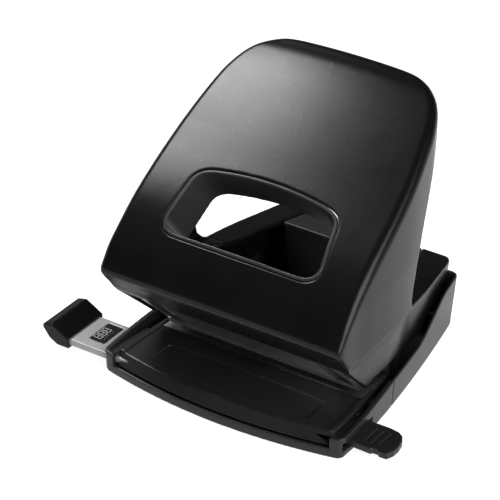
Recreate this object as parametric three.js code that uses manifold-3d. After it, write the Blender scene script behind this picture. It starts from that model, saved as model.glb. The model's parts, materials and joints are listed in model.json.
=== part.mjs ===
// Two-hole office punch with a tall shell lever, a format bar and a hinged chip tray.
// Millimetres, +Z up. X runs along the two holes, +Y points away from the paper.
// Y is laid out from the front corners of the base; the last lines move the origin to the
// middle of the underside.
import * as THREE from 'three';
import { mergeVertices } from 'three/addons/utils/BufferGeometryUtils.js';
import Module from 'manifold-3d';

const wasm = await Module();
wasm.setup();

// ---------- driving dimensions ----------
const GAP = 0.3;                 // between pieces that touch
const HOLE_PITCH = 80;           // ISO 838
const HOLE_TO_EDGE = 12;         // ISO 838, hole centre to paper edge
const PIN_X = HOLE_PITCH / 2;
const PIN_Y = 36.5;
const PIN_R = 2.75;
const STOP_Y = PIN_Y + HOLE_TO_EDGE;

const BASE_DEPTH = 108.9;        // from the front corners to the back
const BASE_HALF = 56.8;          // widest half width, near the front
const SIDE_CURVE = 0.0142;       // how fast the base narrows towards the back
const BASE_BULGE = 6.7;          // how far the front edge bows out
const FRONT_OUT = 0.9;           // the bow starts this far in front of the corners
const RIM_Z = 0.3;               // lower edge of the outer walls
const FLOOR_Z = 0.8;             // underside of the plastic above the feet
const SEAM_Y = 41;               // base walls end and tray walls start
const WALL = 1.5;
const SIDE_WALL = 2.2;            // low side walls beside the table
const SIDE_TOP = 13.3;           // their top where they meet the tray
const TRAY_TOP = 23.9;           // top of the tray wall at the back
const WALL_LEAN = 0.073;         // outward lean of the walls per mm of height
const THIN_LEAN = 0.093;         // lean of the tray walls' inner faces, thinner at the top

const TABLE_TOP = 9;             // paper rests here
const TABLE_T = 1.6;
const RIDGE_X = 51.4;            // outer side of the ribs along the table
const RIDGE_W = 2.6;
const THROAT_TOP = 11.6;         // underside of the stripper plate

const PIVOT_Y = 12.5;
const PIVOT_Z = 37.5;
const AXLE_R = 2.5;
const SHELL_T = 2.4;             // wall of the lever shell
const CROWN = 2.2;               // rise of the lever plate at its middle

const TRAY_AXIS_Y = 26;          // hinge of the chip tray
const TRAY_AXIS_Z = 3.2;
const TRAY_PIN_R = 0.8;

const DECK_REAR_Y = 108.2;
const DECK_REAR_Z = 31.8;
const DECK_RISE = 0.068;         // per mm towards the front
const BLOCK_FRONT_Y = 92;

const PRESS_R = 2.3;             // bar in the lever that pushes the pins
const PIN_TOP = 34;
const PRESS_Z = PIN_TOP + GAP + PRESS_R;

const CHEEK_IN = 4.3;            // inside and outside of a frame's cheeks, from the pin
const CHEEK_OUT = 5.7;
const GUIDE_TOP = 22;            // top of the frame's upper guide
const SCREW_X = [27.4, 33];
const SCREW_Y = 57;

const BAR_Y = 11.6;              // middle of the format bar
const BAR_W = 21.2;
const BAR_Z = 3.6;
const BAR_T = 3;

// ---------- materials ----------
function finish(color, roughness, metalness = 0) {
  return new THREE.MeshStandardMaterial({ color, roughness, metalness });
}
const satinBlack = finish(0x24272a, 0.42);
const mattBlack = finish(0x2a2c2e, 0.6);
const deepBlack = finish(0x161718, 0.65);
const barGrey = finish(0xa9abac, 0.5);
const labelBlack = finish(0x0d0d0e, 0.35);
const steel = finish(0x9a9c9f, 0.35, 1);
const zinc = finish(0xb4b6b8, 0.4, 1);
const rubber = finish(0x1b1b1b, 0.9);

// ---------- solids ----------
function solid(geometry) {
  const bare = geometry.clone();
  bare.deleteAttribute('normal');
  bare.deleteAttribute('uv');
  const merged = mergeVertices(bare, 1e-4);
  return new wasm.Manifold(new wasm.Mesh({
    numProp: 3,
    vertProperties: new Float32Array(merged.attributes.position.array),
    triVerts: new Uint32Array(merged.index.array),
  }));
}

function toGeometry(manifold) {
  const mesh = manifold.getMesh();
  const geometry = new THREE.BufferGeometry();
  geometry.setAttribute('position', new THREE.BufferAttribute(mesh.vertProperties, 3));
  geometry.setIndex(new THREE.BufferAttribute(mesh.triVerts, 1));
  geometry.computeVertexNormals();
  return geometry;
}

function shapeOf(points) {
  return new THREE.Shape(points.map(([a, b]) => new THREE.Vector2(a, b)));
}

function extruded(shape, depth, steps = 1) {
  const flat = shape instanceof THREE.Shape ? shape : shapeOf(shape);
  return new THREE.ExtrudeGeometry(flat, { depth, steps, bevelEnabled: false, curveSegments: 10 });
}

// outline in (y, z), swept along x
function alongX(outline, x0, x1, warp = null, steps = 1) {
  const geometry = extruded(outline, x1 - x0, steps);
  const turn = new THREE.Matrix4().makeBasis(
    new THREE.Vector3(0, 1, 0), new THREE.Vector3(0, 0, 1), new THREE.Vector3(1, 0, 0));
  geometry.applyMatrix4(turn.setPosition(x0, 0, 0));
  return solid(warp ? warped(geometry, warp) : geometry);
}

// outline in (x, y), swept along z
function alongZ(outline, z0, z1, warp = null, steps = 1) {
  const geometry = extruded(outline, z1 - z0, steps);
  geometry.translate(0, 0, z0);
  return solid(warp ? warped(geometry, warp) : geometry);
}

// outline in (x, z), swept along y
function alongY(outline, y0, y1) {
  const geometry = extruded(outline, y1 - y0);
  const turn = new THREE.Matrix4().makeBasis(
    new THREE.Vector3(1, 0, 0), new THREE.Vector3(0, 0, 1), new THREE.Vector3(0, -1, 0));
  geometry.applyMatrix4(turn.setPosition(0, y1, 0));
  return solid(geometry);
}

function warped(geometry, warp) {
  const position = geometry.attributes.position;
  const point = new THREE.Vector3();
  for (let i = 0; i < position.count; i++) {
    point.fromBufferAttribute(position, i);
    warp(point);
    position.setXYZ(i, point.x, point.y, point.z);
  }
  return geometry;
}

function box(x0, x1, y0, y1, z0, z1) {
  const geometry = new THREE.BoxGeometry(x1 - x0, y1 - y0, z1 - z0);
  geometry.translate((x0 + x1) / 2, (y0 + y1) / 2, (z0 + z1) / 2);
  return solid(geometry);
}

function rodX(radius, x0, x1, y, z, sides = 32) {
  const geometry = new THREE.CylinderGeometry(radius, radius, x1 - x0, sides);
  geometry.rotateZ(-Math.PI / 2);
  geometry.translate((x0 + x1) / 2, y, z);
  return solid(geometry);
}

function rodZ(radius, x, y, z0, z1, sides = 32) {
  const geometry = new THREE.CylinderGeometry(radius, radius, z1 - z0, sides);
  geometry.rotateX(Math.PI / 2);
  geometry.translate(x, y, (z0 + z1) / 2);
  return solid(geometry);
}

// profile of (radius, height), turned about a vertical line
function turned(profile, x, y, sides = 32) {
  const points = profile.map(([r, h]) => new THREE.Vector2(r, h));
  const geometry = new THREE.LatheGeometry(points, sides);
  geometry.rotateX(Math.PI / 2);
  geometry.translate(x, y, 0);
  return solid(geometry);
}

function joined(...parts) {
  return parts.reduce((whole, part) => whole.add(part));
}

function cut(body, ...tools) {
  return tools.reduce((rest, tool) => rest.subtract(tool), body);
}

const model = new THREE.Group();
function place(name, manifold, material) {
  const mesh = new THREE.Mesh(toGeometry(manifold), material);
  mesh.name = name;
  model.add(mesh);
}

// ---------- outlines shared by several pieces ----------
function halfWidth(y) {
  return BASE_HALF - SIDE_CURVE * Math.max(0, y - 8) ** 1.5;
}

function stations(from, to, count) {
  return Array.from({ length: count + 1 }, (_, i) => from + (to - from) * i / count);
}

function mirrored(half) {
  const other = half.filter(([x]) => x > 0).map(([x, y]) => [-x, y]).reverse();
  return [...half, ...other];
}

// right half of the base seen from above, pulled in by inset, between two y values
function baseSide(inset, from, to, count = 8) {
  return stations(from, to, count).map((y) => [halfWidth(y) - inset, y]);
}

function frontEdge(inset, reach = BASE_HALF - inset - 2.5) {
  const bow = (x) => FRONT_OUT + BASE_BULGE * (1 - (x / (BASE_HALF - 0.5)) ** 2);
  return stations(0, reach, 8).map((x) => [x, inset - bow(x)]);
}

// the walls lean outwards, at the sides and at the back
function leaning(lean) {
  return (point) => {
    const rise = lean * (point.z - FLOOR_Z);
    point.x *= 1 + rise / 50;
    point.y += rise * Math.max(0, (point.y - 60) / 50);
  };
}
const leanOut = leaning(WALL_LEAN);

function deckHeight(y) {
  return DECK_REAR_Z + DECK_RISE * (DECK_REAR_Y - y);
}

// inner edge of a deck arm, and the side of the block beside it
function seamX(y) {
  return 28.8 + 0.25 * (DECK_REAR_Y - y);
}

// ---------- base: floor pan, side walls and front lip ----------
{
  const outline = mirrored([...frontEdge(0), [BASE_HALF - 0.4, 1.6], ...baseSide(0, 6, SEAM_Y - GAP)]);
  const inside = mirrored([...frontEdge(WALL, BASE_HALF - SIDE_WALL - 2.5), [BASE_HALF - 0.4 - SIDE_WALL, 2.6],
    ...baseSide(SIDE_WALL, 6, SEAM_Y + 1)]);
  const lipTop = 4.2;
  const pan = cut(alongZ(outline, RIM_Z, lipTop, leanOut), alongZ(inside, FLOOR_Z + WALL, lipTop + 1, leanOut),
    alongZ(inside, 0, FLOOR_Z, leanOut));
  const sides = cut(alongZ(outline, lipTop - 0.5, SIDE_TOP, leanOut), alongZ(inside, 0, SIDE_TOP + 1, leanOut));
  const wallShape = [[-3.4, 0], [SEAM_Y, 0], [SEAM_Y, SIDE_TOP], [27, 12.1], [12, 10.5], [-3.4, 9.2]];
  const keep = joined(alongX(wallShape, 51.8, 70), alongX(wallShape, -70, -51.8));
  let base = pan.add(sides.intersect(keep));
  for (const side of [-1, 1]) {
    const corner = box(side * 54 - 2.2, side * 54 + 2.2, -2.1, 1.3, FLOOR_Z, 8.9);
    const ledge = box(side * 56 - 4.2, side * 56 + 4.2, -2, 24, BAR_Z + BAR_T + 0.8, BAR_Z + BAR_T + 1.8);
    base = base.add(joined(corner, ledge).intersect(alongZ(outline, 0, 20, leanOut)));
  }
  const trayBay = box(-49.4, 49.4, 22.6, SEAM_Y + 2, -1, 5);
  const barWay = box(-70, 70, BAR_Y - BAR_W / 2 - 0.6, BAR_Y + BAR_W / 2 + 0.6, BAR_Z - 0.5, BAR_Z + BAR_T + 0.5);
  base = cut(base, trayBay, barWay);
  for (const side of [-1, 1]) {
    const lug = box(side * 51 - 1.3, side * 51 + 1.3, TRAY_AXIS_Y - 2.2, TRAY_AXIS_Y + 2.6, FLOOR_Z, TRAY_AXIS_Z + 1.7);
    const hole = rodX(TRAY_PIN_R + GAP, side * 51 - 3, side * 51 + 3, TRAY_AXIS_Y, TRAY_AXIS_Z, 20);
    base = cut(base.add(lug), hole);
  }
  place('base_shell', base, mattBlack);
}

// ---------- paper table with side ribs, chamfered front and a shallow recess ----------
{
  const chamfer = 3.4;
  const topEdge = mirrored([...frontEdge(WALL + GAP + chamfer, RIDGE_X - 1), [RIDGE_X, 1.8], ...baseSide(BASE_HALF - RIDGE_X, 8, STOP_Y - 0.9)]);
  const lowEdge = mirrored([...frontEdge(WALL + GAP, RIDGE_X - 1), [RIDGE_X, 0.6], ...baseSide(BASE_HALF - RIDGE_X, 8, STOP_Y - 0.9)]);
  const foot = 4.4;
  const slope = extruded(topEdge, TABLE_TOP - foot);
  slope.translate(0, 0, foot);
  const position = slope.attributes.position;
  for (let i = 0; i < position.count; i++) {
    if (position.getZ(i) > foot + 0.01) continue;
    const at = topEdge.findIndex(([x, y]) => Math.hypot(x - position.getX(i), y - position.getY(i)) < 1e-3);
    position.setXY(i, lowEdge[at][0], lowEdge[at][1]);
  }
  const hollow = mirrored([...frontEdge(WALL + GAP + chamfer + TABLE_T, RIDGE_X - 3), [RIDGE_X - 1.4, 3], ...baseSide(BASE_HALF - RIDGE_X + 1.4, 8, STOP_Y + 1)]);
  let table = cut(solid(slope), alongZ(hollow, 0, TABLE_TOP - TABLE_T));
  const rib = mirrored([[RIDGE_X - RIDGE_W, 2.4], [RIDGE_X, 2.4], ...baseSide(BASE_HALF - RIDGE_X, 8, STOP_Y - 0.9),
    [halfWidth(STOP_Y - 0.9) - BASE_HALF + RIDGE_X - RIDGE_W, STOP_Y - 0.9]]);
  const ribInner = mirrored([[RIDGE_X - RIDGE_W, 0], ...baseSide(BASE_HALF - RIDGE_X + RIDGE_W, 8, STOP_Y)]);
  table = table.add(cut(alongZ(rib, TABLE_TOP - 1, TABLE_TOP + 0.8), alongZ(ribInner, 0, 20)));
  const recess = new THREE.Shape();
  recess.moveTo(-37.5, 4.5);
  recess.lineTo(37.5, 4.5);
  recess.lineTo(37.5, 18);
  recess.quadraticCurveTo(0, 20.5, -37.5, 18);
  table = cut(table, alongZ(recess, TABLE_TOP - 0.7, TABLE_TOP + 2));
  const dieBay = box(-48.2, 48.2, 28.2 - GAP, 44.8 + GAP, 0, TABLE_TOP + 0.5);
  const barWay = box(-70, 70, BAR_Y - BAR_W / 2 - 0.6, BAR_Y + BAR_W / 2 + 0.6, 0, BAR_Z + BAR_T + 0.5);
  const frameBay = box(-46.6, 46.6, 27.4, 60, 0, TABLE_TOP - TABLE_T + 0.1);
  const trayBay = box(-52, 52, 22.6, 60, 0, 5.6);
  table = cut(table, dieBay, barWay, frameBay, trayBay);
  place('paper_table', table, mattBlack);
}

// ---------- die plate, stripper plate and paper stop ----------
{
  let die = box(-47.9, 47.9, 28.2, 44.8, TABLE_TOP - 1.5, TABLE_TOP);
  let stripper = box(-46, 46, 29, 47.6, THROAT_TOP, THROAT_TOP + 1.6);
  for (const side of [-1, 1]) {
    die = cut(die, rodZ(PIN_R + 0.2, side * PIN_X, PIN_Y, 0, 20));
    stripper = cut(stripper, rodZ(PIN_R + GAP, side * PIN_X, PIN_Y, 0, 20));
  }
  place('die_plate', die, steel);
  place('stripper_plate', stripper, steel);
  place('paper_stop', box(-46.2, 46.2, STOP_Y - 0.6, STOP_Y + 0.6, TABLE_TOP + GAP, THROAT_TOP + 1.2), deepBlack);
}

// ---------- chassis plate ----------
{
  const outline = mirrored([[0, 27], [43.9, 27], [43.9, 44], [38, 61.5], [24, 70], [21, 106.2], [0, 106.2]]);
  const chipHoles = [-PIN_X, PIN_X].map((x) => rodZ(PIN_R + 1.4, x, PIN_Y, 0, 9));
  place('chassis_plate', cut(alongZ(outline, 3.6, 5), ...chipHoles), steel);
}

// ---------- punch frames: one bent steel bracket at each hole ----------
{
  const cheek = new THREE.Shape();
  cheek.moveTo(28, 5.3);
  cheek.lineTo(53, 5.3);
  cheek.lineTo(53, 22);
  cheek.quadraticCurveTo(52.4, 24.6, 49, 24.8);
  cheek.lineTo(31, 26.4);
  cheek.quadraticCurveTo(28, 27, 26, 30);
  cheek.lineTo(18, 40.6);
  cheek.quadraticCurveTo(16, 42.4, 12.5, 42.6);
  cheek.quadraticCurveTo(7.6, 42.2, 7.6, 37.5);
  cheek.quadraticCurveTo(7.8, 34.6, 10.5, 31.8);
  cheek.lineTo(26.5, 15.8);
  cheek.lineTo(28.6, THROAT_TOP + 1.6 + GAP);
  cheek.lineTo(STOP_Y + 1, THROAT_TOP + 1.6 + GAP);
  cheek.lineTo(STOP_Y + 1, 7.2);
  cheek.lineTo(28, 7.2);
  for (const side of [-1, 1]) {
    const x = side * PIN_X;
    const inner = alongX(cheek, x - CHEEK_OUT, x - CHEEK_IN);
    const outer = alongX(cheek, x + CHEEK_IN, x + CHEEK_OUT);
    const inside = CHEEK_OUT - 0.2;
    const floor = box(x - inside, x + inside, 28.5, 53, 5.3, 7.2);
    const guide = box(x - inside, x + inside, 30.5, 43, GUIDE_TOP - 1.6, GUIDE_TOP);
    const back = box(x - inside, x + inside, 51.4, 53, 5.3, 22);
    const flange = box(side > 0 ? 24 : -36, side > 0 ? 36 : -24, 51.4, 61, 5.3, 6.8);
    let frame = joined(inner, outer, floor, guide, back, flange);
    const bore = rodZ(PIN_R + GAP, x, PIN_Y, GUIDE_TOP - 3, GUIDE_TOP + 2);
    const chipHole = rodZ(PIN_R + 0.9, x, PIN_Y, 4, 8);
    const axleHole = rodX(AXLE_R + GAP, x - 9, x + 9, PIVOT_Y, PIVOT_Z);
    frame = cut(frame, bore, chipHole, axleHole);
    for (const offset of SCREW_X) {
      frame = cut(frame, rodZ(1.7, side * offset, SCREW_Y, 4, 8, 20));
    }
    place(side < 0 ? 'punch_frame_left' : 'punch_frame_right', frame, steel);
  }
}

// ---------- screws that hold the frames to the chassis plate ----------
{
  const seat = 6.8 + GAP;
  const head = [[0, seat], [2.4, seat], [2.4, seat + 0.9], [1.7, seat + 1.6], [0, seat + 1.6]];
  let index = 1;
  for (const side of [-1, 1]) {
    for (const offset of SCREW_X) {
      const x = side * offset;
      const cross = joined(box(x - 1.2, x + 1.2, SCREW_Y - 0.25, SCREW_Y + 0.25, seat + 0.8, seat + 3),
        box(x - 0.25, x + 0.25, SCREW_Y - 1.2, SCREW_Y + 1.2, seat + 0.8, seat + 3));
      const shank = rodZ(1.3, x, SCREW_Y, seat - 1.7, seat + 0.2, 20);
      place(`frame_screw_${index}`, cut(turned(head, x, SCREW_Y, 20).add(shank), cross), zinc);
      index += 1;
    }
  }
}

// ---------- block between the lever's arms ----------
{
  const top = stations(BLOCK_FRONT_Y, DECK_REAR_Y, 3).map((y) => [seamX(y) - 0.6, y]);
  const outline = mirrored([[0, BLOCK_FRONT_Y], ...top, [0, DECK_REAR_Y]]);
  const draft = (point) => {
    point.x *= 1 - 0.0035 * (40 - point.z);
  };
  const side = [[BLOCK_FRONT_Y - 5, 5.3], [DECK_REAR_Y - 2, 5.3], [DECK_REAR_Y - 0.2, DECK_REAR_Z],
    [BLOCK_FRONT_Y + 0.6, deckHeight(BLOCK_FRONT_Y)], [BLOCK_FRONT_Y, deckHeight(BLOCK_FRONT_Y) - 0.7], [BLOCK_FRONT_Y, 5.3]];
  const hollow = box(-17, 17, BLOCK_FRONT_Y + 2.4, DECK_REAR_Y - 4.6, 0, 27.5);
  place('rear_block', cut(alongZ(outline, 5, 40, draft).intersect(alongX(side.slice(1), -60, 60)), hollow), mattBlack);
}

// ---------- pivot axle with a ring at each end ----------
{
  const end = 48.3;
  const groove = (x) => cut(rodX(AXLE_R + 1, x - 0.6, x + 0.6, PIVOT_Y, PIVOT_Z), rodX(AXLE_R - 0.7, x - 1, x + 1, PIVOT_Y, PIVOT_Z));
  place('pivot_axle', cut(rodX(AXLE_R, -end, end, PIVOT_Y, PIVOT_Z), groove(-33), groove(33)), steel);
  for (const side of [-1, 1]) {
    const ring = cut(rodX(AXLE_R + 1.7, side * 33 - 0.3, side * 33 + 0.3, PIVOT_Y, PIVOT_Z),
      rodX(AXLE_R - 0.35, side * 33 - 1, side * 33 + 1, PIVOT_Y, PIVOT_Z),
      box(side * 33 - 1, side * 33 + 1, PIVOT_Y - 1.6, PIVOT_Y + 1.6, PIVOT_Z - 6, PIVOT_Z));
    place(side < 0 ? 'axle_ring_left' : 'axle_ring_right', ring, zinc);
  }
}

// ---------- punch pins, collars and return springs ----------
const NECK_LOW = 30.9;
const NECK_HIGH = 32.3;
class Helix extends THREE.Curve {
  constructor(x, y, radius, low, high, turns) {
    super();
    Object.assign(this, { x, y, radius, low, high, turns });
  }

  getPoint(t, target = new THREE.Vector3()) {
    const angle = t * this.turns * 2 * Math.PI;
    const across = this.x + this.radius * Math.cos(angle);
    const along = this.y + this.radius * Math.sin(angle);
    return target.set(across, along, this.low + (this.high - this.low) * t);
  }
}
for (const side of [-1, 1]) {
  const x = side * PIN_X;
  const tag = side < 0 ? 'left' : 'right';
  const tip = THROAT_TOP + 0.2;
  const ring = (r, low, high) => turned([[0, low], [r, low], [r, high], [0, high]], x, PIN_Y);
  const blank = turned([[0, tip + 0.6], [PIN_R - 0.5, tip + 0.5], [PIN_R, tip],
    [PIN_R, PIN_TOP - 0.9], [PIN_R - 0.7, PIN_TOP - 0.2], [0, PIN_TOP]], x, PIN_Y);
  const neck = cut(ring(PIN_R + 1, NECK_LOW, NECK_HIGH), ring(PIN_R - 0.6, NECK_LOW - 1, NECK_HIGH + 1));
  place(`punch_pin_${tag}`, cut(blank, neck), steel);
  const slot = PIN_R - 0.3;
  const collar = cut(ring(4.1, NECK_LOW + GAP, NECK_HIGH - GAP), ring(slot, NECK_LOW, NECK_HIGH),
    box(x - slot, x + slot, PIN_Y, PIN_Y + 6, NECK_LOW, NECK_HIGH));
  place(`pin_collar_${tag}`, collar, zinc);
  const wire = 0.4;
  const section = new THREE.Shape();
  section.absarc(0, 0, wire, 0, 2 * Math.PI);
  const turns = 4;
  const path = new Helix(x, PIN_Y, 3.55, GUIDE_TOP + GAP + wire, NECK_LOW - wire, turns);
  const coil = new THREE.ExtrudeGeometry(section, { steps: turns * 14, curveSegments: 3, extrudePath: path });
  place(`return_spring_${tag}`, solid(coil), zinc);
}

// ---------- lever shell ----------
function crowned(point) {
  const lift = Math.min(1, Math.max(0, (point.z - 45) / 50));
  point.z -= CROWN * (point.x / 50) ** 2 * lift;
}
// the side walls come in a little below the window and more below the level of the deck
function leanIn(point) {
  point.x -= Math.sign(point.x) * 0.03 * Math.max(0, 60 - point.z);
}
function tuckIn(point) {
  point.x -= Math.sign(point.x) * 0.12 * Math.max(0, 34 - point.z);
}
const platePath = new THREE.SplineCurve([[-1.6, 52.5], [4.5, 61], [20, 75.9], [45, 93], [70, 109.2], [84, 116.9], [90.4, 119.2]]
  .map(([y, z]) => new THREE.Vector2(y, z)));

// the plate from its lower edge to its top edge, moved inwards by inset
function plateLine(inset, count = 22) {
  return stations(0, 1, count).map((t) => {
    const point = platePath.getPoint(t);
    const along = platePath.getTangent(t);
    return [point.x + along.y * inset, point.y - along.x * inset];
  });
}

function topArc(inset) {
  const radius = 5 - inset;
  return stations(1.9, -0.6, 6).map((angle) => [92.6 + radius * Math.cos(angle), 114.7 + radius * Math.sin(angle)]);
}

// right side of the lever seen from above: the upper walls, and the skirt at the level of the deck
const upperSide = new THREE.SplineCurve([[56.9, -6], [56.7, 2], [56.2, 12], [56, 24], [55.3, 40], [53.8, 55],
  [50.9, 70], [48.8, 77], [45.6, 83.6], [41.2, 88.8], [35.2, 93], [25, 96.6], [0, 97.7]].map(([x, y]) => new THREE.Vector2(x, y)));
const skirtSide = new THREE.SplineCurve([[55.6, -6], [55.2, 5], [54.4, 12], [54.1, 24], [53.4, 40], [52.1, 50], [51, 55],
  [49.5, 62], [48.6, 70], [47.2, 80], [45.7, 88], [43.9, 97.4], [42.2, 105.2], [39.8, 107.9], [37, DECK_REAR_Y]]
  .map(([x, y]) => new THREE.Vector2(x, y)));

// right half of the lever, pulled in by inset
function leverPlan(curve, inset, count) {
  const side = stations(0, 1, count).map((t) => {
    const point = curve.getPoint(t);
    const along = curve.getTangent(t);
    return [Math.max(0, point.x - along.y * inset), point.y + along.x * inset];
  });
  return mirrored([[0, side[0][1]], ...side, ...(side[count][0] > 0 ? [[0, side[count][1]]] : [])]);
}

const lipLow = [5, 36.4];
const lipHigh = [-1.4, 45.2];
const TUBE_DEPTH = 19.5;
const window = {
  origin: new THREE.Vector3(0, 11.2, 67.4),
  up: new THREE.Vector3(0, 0.79, 0.613),
  inward: new THREE.Vector3(0, 0.66, -0.751),
};

// rounded window outline in the plane of the plate, widest near its foot
function windowShape(grow) {
  const g = grow;
  const shape = new THREE.Shape();
  shape.moveTo(-28, -g);
  shape.lineTo(28, -g);
  shape.quadraticCurveTo(35.6 + g, -g, 35.4 + g, 6);
  shape.lineTo(32.9 + g, 22.5);
  shape.quadraticCurveTo(32 + g, 27.2 + g, 25.5, 28.6 + g);
  shape.quadraticCurveTo(0, 33.4 + g, -25.5, 28.6 + g);
  shape.quadraticCurveTo(-32 - g, 27.2 + g, -32.9 - g, 22.5);
  shape.lineTo(-35.4 - g, 6);
  shape.quadraticCurveTo(-35.6 - g, -g, -28, -g);
  return shape;
}

// a prism of the window outline along its tube, from outside the plate to a depth
function windowPrism(grow, outside, depth) {
  const geometry = extruded(windowShape(grow), outside + depth);
  const start = window.origin.clone().addScaledVector(window.inward, -outside);
  const turn = new THREE.Matrix4().makeBasis(new THREE.Vector3(-1, 0, 0), window.up, window.inward);
  geometry.applyMatrix4(turn.setPosition(start));
  return solid(geometry);
}

{
  const outerProfile = [lipLow, lipHigh, [-3.2, 48], [-3, 50.2], ...plateLine(0), ...topArc(0).slice(1), [96.4, 110.6],
    [86.4, 110], [80, 100], [72.4, 85], [64.8, 70], [59.4, 57], [56.4, 44], [56.2, 39.4], [57.6, 36.6], [61, 34.4],
    [61, 30], [11.6, 30]];
  const innerProfile = [[lipLow[0] + SHELL_T, 34], [lipHigh[0] + SHELL_T + 0.4, 46], [lipHigh[0] + SHELL_T - 0.6, 50.5],
    ...plateLine(SHELL_T).slice(1), ...topArc(SHELL_T).slice(1, 6), [94.2, 108], [120, 108], [120, 0], [lipLow[0] + SHELL_T, 0]];
  const upperOuter = alongX(outerProfile, -62, 62, crowned, 12)
    .intersect(alongZ(leverPlan(upperSide, 0, 24), 10, 135, leanIn, 5));
  const upperInner = alongX(innerProfile, -62, 62, crowned, 12)
    .intersect(alongZ(leverPlan(upperSide, SHELL_T, 24), 10, 135, leanIn, 5));
  const tip = [25.3, 16.7];
  const skirtProfile = [lipLow, tip, [29.4, 18.6], [51.3, 17], [51.8, 9.6], [62, 10.9], [85, 15.2], [DECK_REAR_Y + 2, 19.2],
    [DECK_REAR_Y + 2, deckHeight(DECK_REAR_Y + 2)], [61, deckHeight(61)], [40, 38], [12, 38]];
  const lowerOuter = alongX(skirtProfile, -62, 62).intersect(alongZ(leverPlan(skirtSide, 0, 24), 4, 64, tuckIn, 2));
  const underDeck = [[-20, -5], [120, -5], [120, deckHeight(120) - SHELL_T], [58, deckHeight(58) - SHELL_T], [40, 45], [-20, 60]];
  const lowerInner = alongZ(leverPlan(skirtSide, SHELL_T, 24), -26, 64, tuckIn, 3).intersect(alongX(underDeck, -62, 62));
  const skirt = cut(lowerOuter, lowerInner);
  const armGap = mirrored([[0, 40], [46, 50], [43.4, 55.5], [39.5, 60], [36.2, 70],
    ...stations(84, 112, 2).map((y) => [seamX(y), y]), [0, 112]]);
  const frameRoom = box(-46.4, 46.4, 44, 62, 0, 24);
  const arms = cut(skirt, alongZ(armGap, 0, 60), frameRoom);
  let shell = cut(upperOuter, upperInner, box(-70, 70, -20, 120, 20, 31)).add(arms);
  for (const side of [-1, 1]) {
    for (const [y, z, reach, radius] of [[PIVOT_Y, PIVOT_Z, 53.6, AXLE_R], [PIN_Y, PRESS_Z, 52.4, PRESS_R]]) {
      const span = (from, to) => (side > 0 ? [from, to] : [-to, -from]);
      shell = shell.add(rodX(radius + 2.4, ...span(46.8, reach), y, z));
      shell = cut(shell, rodX(radius + GAP, ...span(40, 48.9), y, z));
    }
  }
  shell = cut(shell, windowPrism(GAP + 1.4, 8, 8));
  place('lever_shell', shell, satinBlack);

  // window tube, flush with the plate, deep enough to show from the front
  const skin = alongX([[-9, 40], [-3.4, 50.2], ...plateLine(-0.15), [110, 119], [110, -10], [-9, -10]], -62, 62, crowned, 12);
  const tube = cut(windowPrism(1.4, 12, TUBE_DEPTH), windowPrism(0, 14, 30)).intersect(skin);
  place('window_tube', tube, satinBlack);

  // press bar across the inside of the lever
  place('press_bar', rodX(PRESS_R, -48.6, 48.6, PIN_Y, PRESS_Z), steel);
}

// ---------- format bar: rail, label, stop and end tab ----------
const RAIL_LEFT = -78.4;
const RAIL_RIGHT = 40;
{
  const low = BAR_Y - BAR_W / 2;
  const high = BAR_Y + BAR_W / 2;
  const top = BAR_Z + BAR_T;
  let rail = box(RAIL_LEFT, RAIL_RIGHT, low, high, BAR_Z, top);
  rail = cut(rail, box(-69.9, -62.1, 6.3, 19.8, top - 0.6, top + 1));
  for (let i = 0; i < 8; i++) {
    rail = cut(rail, rodZ(1.1, 10 - 8 * i, BAR_Y, BAR_Z - 1, BAR_Z + 0.7, 16));
  }
  place('format_rail', rail, barGrey);
  place('format_label', box(-69.6, -62.4, 6.6, 19.5, top - 0.6 + GAP, top + 0.1), labelBlack);
  const cap = [[-75.6, 2.6], [-75.6, 7.4], [-83.2, 11.6], [-84, 11.8], [-88, 10.8], [-88.6, 10.2], [-88.6, 8.8],
    [-85.4, 4.6], [-81.6, 2.6]];
  const pocket = box(-80, -60, low - GAP, high + GAP, BAR_Z - GAP, top + GAP);
  place('format_stop', cut(alongY(cap, BAR_Y - 12, BAR_Y + 12), pocket), mattBlack);
  const tab = new THREE.Shape();
  tab.moveTo(RAIL_RIGHT + GAP, 4.8);
  tab.lineTo(66.5, 4.4);
  tab.lineTo(67.3, 5.4);
  tab.lineTo(69.4, 5.4);
  tab.lineTo(70.2, 4.6);
  tab.lineTo(73.6, 4.8);
  tab.quadraticCurveTo(76.6, 11, 72.6, 18.4);
  tab.quadraticCurveTo(70.6, 20.6, 66, 20.6);
  tab.lineTo(RAIL_RIGHT + GAP, 20.2);
  const grip = joined(...[62, 65, 68].map((x) => box(x, x + 0.9, 8, 17, top - 0.5, top + 2)));
  place('format_tab', cut(alongZ(tab, BAR_Z + 0.1, top), grip), mattBlack);
}

// ---------- leaf that clicks into the rail's dimples ----------
{
  const low = FLOOR_Z + WALL + GAP;
  const leaf = new THREE.Shape();
  leaf.moveTo(-8, low);
  leaf.lineTo(8, low);
  leaf.lineTo(8, low + 0.2);
  leaf.quadraticCurveTo(0, low + 1, -8, low + 0.2);
  place('detent_leaf', alongY(leaf, BAR_Y - 2, BAR_Y + 2), steel);
}

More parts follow.
